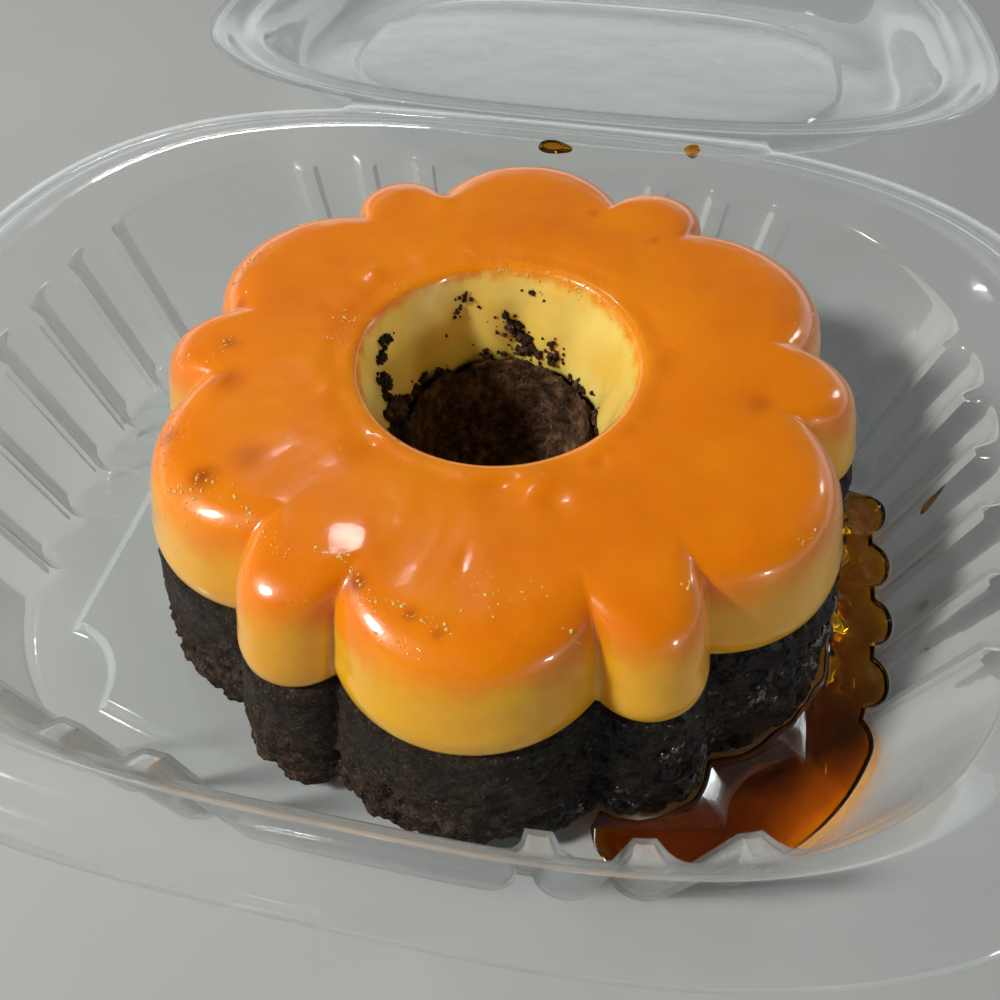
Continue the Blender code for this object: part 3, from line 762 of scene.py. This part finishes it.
def build_cake(material):
    angle = np.linspace(0.0, TAU, CAKE_COLUMNS, endpoint=False)
    foot_z = WALL + PANEL_RISE + TOUCH_GAP
    top_z = LAYER_Z - TOUCH_GAP
    rows = []
    for share in (0.0, 0.5, 0.9):
        rows.append(cake_points(angle, cake_side_radius(angle, 0.0) * share, foot_z))
    for share in np.linspace(0.0, 1.0, 78):
        radius = cake_side_radius(angle, share)
        radius -= 1.2 * MM * max(0.0, 1.0 - share / 0.05) ** 2
        rows.append(cake_points(angle, radius, foot_z + share * (top_z - foot_z)))
    outer_rows = len(rows)
    hollow = []
    for radius_mm, drop_mm in ((42.0, 0.0), (20.0, 0.0)) + HOLLOW_ROWS + ((0.4, 11.0),):
        drop = np.full(CAKE_COLUMNS, drop_mm * MM)
        if drop_mm < 0.0:
            drop *= 0.5 + 0.5 * np.sin(angle)
        hollow.append(cake_points(angle, radius_mm * MM, top_z - drop, HOLE_SHIFT))
    inner = smooth_section(hollow, [2, 4, 3, 6, 10, 10, 9, 6])
    rows = np.concatenate((np.array(rows), inner))
    way = rows[..., :2] - CAKE_AXIS
    away = np.maximum(np.hypot(way[..., 0], way[..., 1]), 1e-6)
    index = np.arange(len(rows))[:, None] * np.ones(CAKE_COLUMNS)
    height = (rows[..., 2] - foot_z) / (top_z - foot_z)
    on_side = (index >= 3) & (index < outer_rows)
    in_hole = (index >= outer_rows + 6) & (away < 14.5 * MM)
    fine = field(rows, 2.4 * MM, 4, 2.0)
    tears = np.minimum(0.0, field(rows, 4.5 * MM, 3, 9.0) + 0.15)
    turn = np.arctan2(way[..., 1], way[..., 0])
    left = smoothstep(math.radians(-50.0), math.radians(-100.0), turn) + (turn > math.radians(100.0))
    ragged = 0.25 + 0.75 * np.clip(left, 0.0, 1.0) * smoothstep(0.75, 0.2, height)
    grains = 0.5 * field(rows, 1.1 * MM, 2, 27.0)
    push = on_side * (0.8 * fine + 1.7 * tears + grains) * ragged
    wet_side = smoothstep(math.radians(-88.0), math.radians(-62.0), turn) * (turn < math.radians(60.0))
    push += on_side * wet_side * (0.9 * field(rows, 1.9 * MM, 2, 47.0) - 0.2)
    push *= MM * smoothstep(1.0, 0.93, height)
    rows[..., :2] += way / away[..., None] * np.clip(push, -2.0 * MM, 0.3 * MM)[..., None]
    lumps = MM * (1.3 * field(rows, 4.2 * MM, 4, 14.0) + 0.7 * field(rows, 1.7 * MM, 2, 44.0)) * in_hole
    rows[..., 2] += np.where(in_hole, lumps, 0.0)
    cake = grid_object("chocolate_cake", rows, material, close_first=True, close_last=True)
    patches = smoothstep(-0.25, 0.3, field(rows, 6.0 * MM, 3, 31.0))
    wet = np.clip(wet_side * (0.75 + 0.25 * patches) + 0.15 * patches, 0.0, 1.0)
    wet = np.maximum(wet, 0.4 * smoothstep(0.55, 0.9, height) * patches)
    wet = np.where(in_hole | (away < 20.0 * MM), 0.4 * patches, wet)
    add_attribute(cake, "wet", wet)
    return cake


# Caramel

def floor_reach(angle, foot):
    """Distance from the cake's axis to the ribbed floor's edge, and to the panel's step."""
    turns, scoops = tray_columns()
    floor_edge = ribbed_outline(turns, scoops, FLOOR_HALF, RIB_DEPTH_AT_FLOOR, WALL)
    reaches = []
    for edge in (floor_edge, panel_outline(turns, 0.0, WALL), panel_outline(turns, PANEL_BEVEL, WALL)):
        x = edge[:, 0] - CAKE_CENTRE[0]
        y = edge[:, 1] - CAKE_CENTRE[1]
        heading = np.arctan2(y, x)
        order = np.argsort(heading)
        reaches.append(np.interp(angle, heading[order], np.hypot(x, y)[order]))
    outer = reaches[0] - 0.35 * MM
    step_top = np.maximum(reaches[2] + 0.4 * MM, foot + 0.5 * MM)
    step_foot = np.maximum(reaches[1] + 0.4 * MM, step_top + 0.4 * MM)
    return outer, step_top, step_foot


def build_pool(material):
    share_round = np.linspace(0.0, 1.0, 360)
    # Its two ends are rounded off, and run out furthest in the middle
    from_end = np.minimum(share_round, 1.0 - share_round) * (POOL_TO_ANGLE - POOL_FROM_ANGLE)
    rounding = 1.0 - smoothstep(0.0, POOL_END_REACH, from_end)
    ending = np.where(share_round < 0.5, 1.0, -1.0) * POOL_END_ROUNDING * rounding
    over_floor = WALL + FLOOR_BOW + TOUCH_GAP
    over_panel = WALL + PANEL_RISE + TOUCH_GAP
    plain_angle = POOL_FROM_ANGLE + share_round * (POOL_TO_ANGLE - POOL_FROM_ANGLE)

    def reaches(across):
        angle = plain_angle + ending * (2.0 * across - 1.0) ** 2
        foot = cake_side_radius(angle, 0.0) + 0.25 * MM
        return angle, foot, floor_reach(angle, foot)

    ring = []
    for across in np.linspace(0.0, 1.0, 26):
        angle, foot, (outer, _, _) = reaches(across)
        rise = POOL_EDGE_RISE * (math.exp(-across * 24.0) + math.exp(-(1.0 - across) * 18.0))
        points = cake_points(angle, foot + (outer - foot) * across, POOL_TOP_Z - POOL_DIP + rise)
        wave = 0.2 * MM * field(points, 4.0 * MM, 2, 17.0) * math.sin(math.pi * across)
        points[..., 2] = np.minimum(points[..., 2] + wave, POOL_TOP_Z)
        ring.append(points)
    angle, foot, (outer, _, _) = reaches(1.0)
    for radius, z in ((outer + 0.1 * MM, POOL_TOP_Z - 0.7 * MM), (outer - 0.1 * MM, over_floor + 0.3 * MM),
                      (outer - 0.5 * MM, over_floor)):
        ring.append(cake_points(angle, radius, z))
    middle, _, (_, step_top, step_foot) = reaches(0.5)
    ring.append(cake_points(middle, step_foot, over_floor))
    ring.append(cake_points(middle, step_top, over_panel))
    ring.append(cake_points(angle, foot, over_panel))
    rows = np.array(ring).transpose(1, 0, 2)
    # It thins out towards the two ends
    least = over_panel + 0.15 * MM
    thinned = least + (rows[..., 2] - least) * np.sqrt(1.0 - rounding)[:, None]
    rows[..., 2] = np.where(rows[..., 2] > least, thinned, rows[..., 2])
    pool = grid_object("caramel_puddle", rows, material, close_first=True, close_last=True)
    # It is deep in front, where it ran together; the strip beside the cake lies in the cake's shadow and is
    # painted thin and light there, as painted light
    thickness = field(rows, 9.0 * MM, 3, 4.0) * 0.3 + 1.0
    thickness -= 0.7 * smoothstep(-105.0 * MM, -88.0 * MM, rows[..., 1])
    thickness -= 0.9 * spots(rows, ((60.0, -116.5, 6.0, 1.0), (53.0, -121.0, 4.5, 0.6)))
    across = np.broadcast_to(np.clip(np.linspace(0.0, 1.25, rows.shape[1]), 0.0, 1.0), rows.shape[:2])
    thickness -= 0.3 * smoothstep(0.8, 1.0, across)
    add_attribute(pool, "thickness", np.clip(thickness, 0.0, 1.0))
    return pool


def close_rings(faces, first, ring_count, sides):
    """Faces of a small closed form from its rings of points."""
    for ring in range(ring_count - 1):
        here = first + ring * sides
        for side in range(sides):
            following = (side + 1) % sides
            faces.append((here + side, here + following, here + sides + following, here + sides + side))
    last = first + (ring_count - 1) * sides
    faces.append(tuple(reversed(range(first, first + sides))))
    faces.append(tuple(range(last, last + sides)))


def drop_mesh(centre, radii, up, along, points, faces, thickness):
    """Adds one flattened drop that sits on a surface with this normal."""
    normal = Vector(up).normalized()
    tangent = (Vector(along) - normal * normal.dot(Vector(along))).normalized()
    other = normal.cross(tangent)
    rings, sides = 7, 20
    first = len(points)
    for ring in range(rings + 1):
        tilt = (math.pi / 2.0) * ring / rings
        for side in range(sides):
            turn = TAU * side / sides
            spread = math.cos(tilt) * (1.0 + 0.08 * math.sin(3.0 * turn + centre[0] * 900.0))
            spread = max(spread, 0.015)
            place = (Vector(centre) + tangent * radii[0] * spread * math.cos(turn)
                     + other * radii[1] * spread * math.sin(turn) + normal * radii[2] * math.sin(tilt))
            points.append(place)
            thickness.append(0.35)
    close_rings(faces, first, rings + 1, sides)


def build_drops(material):
    """Caramel drops on the tray's rim and on its right wall."""
    points, faces, thickness = [], [], []
    places = (
        ((2.2, -9.95, 30.15), (3.2, 1.2, 0.5), (0.0, -0.75, 0.66), (1.0, 0.0, 0.0)),
        ((27.1, -7.6, 30.7), (1.4, 1.3, 0.7), (0.0, -0.6, 0.8), (1.0, 0.0, 0.0)),
        ((72.3, -62.2, 8.2), (3.2, 0.9, 0.45), (-0.93, 0.0, 0.36), (0.3, 0.35, 0.8)),
        ((70.3, -80.9, 5.2), (1.7, 0.8, 0.4), (-0.93, 0.0, 0.36), (0.3, 0.1, 0.9)),
        ((70.6, -88.2, 4.6), (1.2, 0.7, 0.35), (-0.93, 0.0, 0.36), (0.3, 0.0, 0.9)),
    )
    for centre, radii, up, along in places:
        drop_mesh([value * MM for value in centre], [value * MM for value in radii], up, along,
                  points, faces, thickness)
    drops = add_object("caramel_drops", points, faces, material)
    add_attribute(drops, "thickness", thickness)
    return drops


# Crumbs, froth and syrup beads

def lump(centre, radius, seed, points, faces):
    """Adds one small irregular lump."""
    rings, sides = 7, 12
    first = len(points)
    offset = Vector((seed * 1.7, seed * 0.9, seed * 2.3))
    for ring in range(1, rings):
        tilt = math.pi * ring / rings - math.pi / 2.0
        for side in range(sides):
            turn = TAU * side / sides
            way = Vector((math.cos(tilt) * math.cos(turn), math.cos(tilt) * math.sin(turn), math.sin(tilt)))
            size = radius * (0.9 + 0.7 * noise.noise(way * 1.5 + offset)
                             + 0.45 * noise.noise(way * 4.0 + offset))
            points.append(Vector(centre) + way * size)
    close_rings(faces, first, rings - 1, sides)


def hole_wall_point(angle, z, lift=0.0):
    radius = hole_radius(angle, z) - lift
    return cake_points(angle, radius, z, HOLE_SHIFT)


# Chocolate crumbs on the hole's wall: angle in degrees, height over the layer line in mm, spread
# along the wall and up it in mm, largest crumb in mm, count
CRUMB_PATCHES = (
    (84.0, 11.3, 0.8, 0.25, 0.55, 7), (119.0, 10.6, 0.7, 0.6, 0.5, 9), (123.0, 8.9, 0.5, 0.6, 0.5, 9),
    (112.0, 9.2, 0.4, 0.4, 0.35, 4), (98.0, 7.8, 0.7, 0.5, 0.6, 9), (94.0, 6.2, 1.0, 0.6, 0.8, 16),
    (88.0, 4.4, 1.3, 0.8, 0.9, 20), (84.0, 2.6, 1.5, 0.9, 1.0, 22), (70.0, 4.6, 0.4, 0.9, 0.55, 7),
    (66.0, 2.2, 1.0, 0.8, 0.8, 12), (168.0, 11.6, 0.8, 0.5, 0.7, 12), (174.0, 10.2, 0.8, 0.6, 0.8, 12),
    (184.0, 7.4, 1.2, 0.9, 1.2, 18), (194.0, 5.0, 1.6, 1.3, 1.7, 24), (204.0, 2.8, 2.0, 1.2, 1.9, 24),
    (180.0, 2.4, 1.6, 1.0, 1.3, 14), (160.0, 1.4, 1.6, 0.7, 0.9, 14), (140.0, 1.0, 1.8, 0.6, 0.9, 12),
    (108.0, 1.6, 1.6, 0.8, 0.9, 14), (44.0, 1.2, 1.8, 0.6, 0.9, 14), (16.0, 0.8, 1.8, 0.5, 0.8, 12),
    (-14.0, 0.6, 1.6, 0.4, 0.7, 8), (222.0, 1.4, 1.6, 0.7, 1.0, 12), (132.0, 6.4, 0.2, 0.2, 0.25, 2),
)


def build_crumbs(material):
    rng = random.Random(7)
    points, faces = [], []
    for degrees, height_mm, along_mm, up_mm, largest_mm, count in CRUMB_PATCHES:
        for item in range(count):
            # The few large crumbs lie in the middle of the patch
            share = (1.0 - item / count) ** 1.7
            size = largest_mm * (0.18 + 0.82 * share) * rng.uniform(0.75, 1.1) * MM
            loose_crumb_and_painted_light = 1.35 - share
            sideways = rng.gauss(0.0, 1.0) * along_mm * loose_crumb_and_painted_light * MM
            z = LAYER_Z + max(0.15, height_mm + rng.gauss(0.0, 1.0) * up_mm * loose_crumb_and_painted_light) * MM
            z = min(z, CAKE_TOP_Z - 1.6 * MM)
            angle = math.radians(degrees) + sideways / HOLE_FOOT_RADIUS
            centre = hole_wall_point(np.array(angle), np.array(z), size * rng.uniform(0.0, 0.5))
            lump(centre, size, rng.random() * 50.0, points, faces)
    crumbs = add_object("chocolate_crumbs", points, faces, material)
    add_attribute(crumbs, "wet", [0.4] * len(points))
    return crumbs


def surface_caster(piece):
    """Function that finds the piece's surface from a place along a way, straight down by default."""
    bpy.context.view_layer.update()

    def cast(x, y, start=60.0 * MM, way=(0.0, 0.0, -1.0)):
        hit, place, normal, face = piece.ray_cast(Vector((x, y, start)), Vector(way))
        return (place, normal) if hit else None
    return cast


# Froth along the glaze's edge: lines of (degrees round the cake, mm from its axis), spread, count
FROTH_LINES = (
    (((-152.0, 44.0), (-146.0, 44.5), (-141.0, 45.4)), 0.9, 22),
    (((-141.0, 45.0), (-135.0, 44.0), (-138.5, 41.4), (-133.0, 39.2)), 0.9, 46),
    (((-133.0, 39.2), (-123.0, 39.2), (-115.0, 40.6)), 0.45, 26),
    (((-115.0, 40.4), (-109.4, 36.6), (-105.3, 37.2), (-100.7, 39.8)), 0.35, 34),
    (((-100.7, 39.8), (-94.8, 40.3), (-88.8, 41.5), (-86.0, 42.6)), 0.4, 40),
    (((-171.0, 43.8), (-165.0, 43.0), (-158.0, 43.6), (-152.0, 44.0)), 0.7, 34),
    (((-161.0, 41.8), (-165.2, 40.3), (-169.3, 38.8), (-175.8, 36.0)), 0.7, 30),
    (((173.9, 39.6), (169.1, 42.8), (162.3, 43.4), (155.0, 43.6)), 0.6, 34),
    (((148.2, 43.2), (142.0, 43.8)), 0.5, 10), (((170.4, 24.5), (170.4, 20.6)), 0.6, 12),
    (((-83.7, 36.4), (-73.6, 38.0)), 1.8, 24), (((-68.5, 42.0), (-66.5, 43.5)), 0.4, 9),
    (((-49.0, 41.0), (-46.5, 43.6)), 0.4, 12), (((-30.0, 45.6), (-20.0, 46.6)), 0.35, 16),
    (((18.0, 44.0), (24.0, 45.0)), 0.5, 8), (((64.0, 43.6), (76.0, 44.0)), 0.4, 10),
    (((112.0, 43.0), (120.0, 43.4)), 0.4, 9), (((-130.0, 26.4), (-128.0, 25.6)), 0.3, 3),
)
RIM_BUBBLES = 110


def build_bubbles(material, cast):
    """Tiny pale bubbles, whose pale colour is partly painted glints: froth at the glaze's edge, and a
    broken line round the hole's far side.
    """
    rng = random.Random(11)
    points, faces, places = [], [], []
    for line, spread, count in FROTH_LINES:
        way = np.array(line)
        for item in range(count):
            along = rng.uniform(0.0, len(line) - 1.001)
            start = int(along)
            degrees, radius = way[start] + (way[start + 1] - way[start]) * (along - start)
            place = CAKE_AXIS + heading_of(math.radians(degrees)) * radius * MM
            place += np.array((rng.gauss(0.0, spread), rng.gauss(0.0, spread))) * MM
            places.append((place, rng.paretovariate(2.2)))
    for item in range(RIM_BUBBLES):
        heading = heading_of(math.radians(rng.triangular(-8.0, 132.0, 80.0)))
        place = CAKE_AXIS + HOLE_SHIFT + heading * (19.0 + rng.gauss(0.0, 0.35)) * MM
        places.append((place, rng.paretovariate(2.6)))
    for place, weight in places:
        found = cast(*place)
        if found is None:
            continue
        spot, normal = found
        size = min(0.085 * weight, 0.26) * MM
        first = len(points)
        bubble_dome(spot - normal * size * 0.3, normal, size, points, faces)
        for index in range(first, len(points)):
            points[index].z = min(points[index].z, CAKE_TOP_Z)
    return add_object("glaze_bubbles", points, faces, material)


# Syrup beads: clusters, where rays to the cake's side start, and how low and high a bead may sit
BEAD_CLUSTERS = 26
BEAD_START_RADIUS = 70.0 * MM
BEAD_LOWEST = 4.0 * MM
BEAD_HIGHEST = 18.5 * MM


def build_wet_beads(material, cast):
    """Dark syrup beads on the wet right side of the cake, which is where the photo has its glints."""
    rng = random.Random(23)
    points, faces = [], []
    for cluster in range(BEAD_CLUSTERS):
        degrees = rng.uniform(-70.0, 8.0)
        z = rng.uniform(5.0, 17.5)
        for item in range(rng.randint(3, 9)):
            heading = heading_of(math.radians(degrees + rng.gauss(0.0, 1.6)))
            start = CAKE_AXIS + heading * BEAD_START_RADIUS
            found = cast(*start, (z + rng.gauss(0.0, 1.5)) * MM, (-heading[0], -heading[1], 0.0))
            if found is None or not BEAD_LOWEST <= found[0].z <= BEAD_HIGHEST:
                continue
            spot, normal = found
            size = min(0.24 * rng.paretovariate(2.0), 0.8) * MM
            bubble_dome(spot - normal * size * 0.35, normal, size, points, faces)
    return add_object("syrup_beads", points, faces, material)


def bubble_dome(centre, normal, size, points, faces):
    tangent = normal.orthogonal().normalized()
    other = normal.cross(tangent)
    rings, sides = 4, 9
    first = len(points)
    for ring in range(rings):
        tilt = math.pi / 2.0 * ring / (rings - 0.6)
        for side in range(sides):
            turn = TAU * side / sides
            around = tangent * math.cos(turn) + other * math.sin(turn)
            points.append(centre + around * size * math.cos(tilt) + normal * size * math.sin(tilt))
    close_rings(faces, first, rings, sides)


def make_syrup_bead_material():
    nodes = Nodes("dark_syrup")
    colour = nodes.ramp(nodes.noise(400.0, 2.0), (
        (0.3, (0.004, 0.0015, 0.0008)), (0.7, (0.014, 0.005, 0.002))))
    nodes.feed("Base Color", colour)
    nodes.set(Roughness=0.2, IOR=1.45, Coat_Weight=1.0, Coat_Roughness=0.04, Coat_IOR=1.5)
    return nodes.material


def make_bubble_and_glint_material():
    nodes = Nodes("glaze_bubble_and_glint")
    # The bubbles' pale orange is partly their own froth colour and partly painted glints
    colour = nodes.ramp(nodes.noise(300.0, 2.0), ((0.3, (0.95, 0.44, 0.05)), (0.7, (1.0, 0.66, 0.24))))
    nodes.feed("Base Color", colour)
    nodes.set(Roughness=0.35, IOR=1.42, Coat_Weight=0.4, Coat_Roughness=0.08, Subsurface_Weight=0.3,
              Subsurface_Radius=(1.0, 0.4, 0.1), Subsurface_Scale=1.0 * MM)
    return nodes.material


# Stage

def add_light(name, place, target, size, power, colour=(1.0, 1.0, 1.0)):
    data = bpy.data.lights.new(name, "AREA")
    data.energy = power
    data.color = colour
    data.shape = "ELLIPSE"
    data.size, data.size_y = size
    lamp = bpy.data.objects.new(name, data)
    lamp.location = place
    lamp.rotation_euler = (Vector(target) - Vector(place)).to_track_quat("-Z", "Y").to_euler()
    bpy.context.scene.collection.objects.link(lamp)


def build_stage():
    floor = add_object("floor", [(-3, -3, 0), (3, -3, 0), (3, 3, 0), (-3, 3, 0)], [(0, 1, 2, 3)],
                       make_floor_material())
    target = (0.006, -0.075, 0.02)
    add_light("key", (-0.57, -0.35, 0.57), target, (0.13, 0.13), 6.4, (1.0, 0.96, 0.90))
    add_light("fill", (-0.15, -0.85, 0.65), target, (0.8, 0.8), 0.3, (0.95, 0.98, 1.0))
    add_light("sheen", (-0.252, 0.338, 0.719), (-0.005, -0.108, 0.038), (0.09, 0.016), 0.34)
    add_light("edge", (0.66, 0.42, 0.42), target, (0.12, 0.12), 0.7, (1.0, 0.98, 0.95))
    add_light("glint", (0.62, -0.48, 0.17), target, (0.05, 0.05), 0.6)
    # Soft light from all round, brightest low down and behind, as in a room with windows
    world = bpy.data.worlds.new("studio")
    nodes = Nodes("studio", world)
    split = nodes.split(nodes.add("ShaderNodeTexCoord").outputs["Generated"])
    height = nodes.ramp(split["Z"], [(position, (value * 0.95, value, value * 1.02))
                                     for position, value in ((0.17, 1.0), (0.26, 0.3), (0.44, 0.045))])
    behind = nodes.add("ShaderNodeMapRange")
    for name, value in (("From Min", -0.8), ("From Max", 0.6), ("To Min", 0.3)):
        behind.inputs[name].default_value = value
    nodes.link(split["Y"], behind.inputs["Value"])
    nodes.feed("Color", nodes.mix(1.0, height, behind.outputs["Result"], "MULTIPLY"))
    nodes.set(Strength=1.35)
    bpy.context.scene.world = world
    bpy.context.scene.view_settings.view_transform = "Standard"


def build_camera():
    data = bpy.data.cameras.new("camera")
    data.sensor_width = 36.0
    data.lens = CAMERA_LENS
    data.clip_start = 0.005
    camera = bpy.data.objects.new("camera", data)
    axes = Matrix((CAMERA_RIGHT, CAMERA_UP, CAMERA_BACK)).transposed()
    camera.matrix_world = Matrix.Translation(CAMERA_PLACE) @ axes.to_4x4()
    bpy.context.scene.collection.objects.link(camera)
    bpy.context.scene.camera = camera


def main():
    build_camera()
    build_stage()
    plastic = make_plastic_material()
    tray = build_tray(plastic)
    lid = build_lid(plastic)
    flan = build_flan(make_flan_material())
    cake_material = make_cake_material()
    cake = build_cake(cake_material)
    caramel = make_caramel_material()
    pool = build_pool(caramel)
    drops = build_drops(caramel)
    crumbs = build_crumbs(cake_material)
    bubbles = build_bubbles(make_bubble_and_glint_material(), surface_caster(flan))
    beads = build_wet_beads(make_syrup_bead_material(), surface_caster(cake))

    for piece, node, slot in ((tray, "tray", "clear_plastic"), (lid, "lid", "clear_plastic"),
                              (flan, "flan", "flan_custard"), (cake, "cake", "chocolate_cake"),
                              (pool, "caramel_pool", "caramel")):
        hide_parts(node)
        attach(piece, "lid" if piece == lid else "base")
    for piece, slot in ((drops, "caramel"), (crumbs, "chocolate_cake"), (bubbles, "flan_custard"),
                        (beads, "caramel")):
        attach(piece, "base")


main()
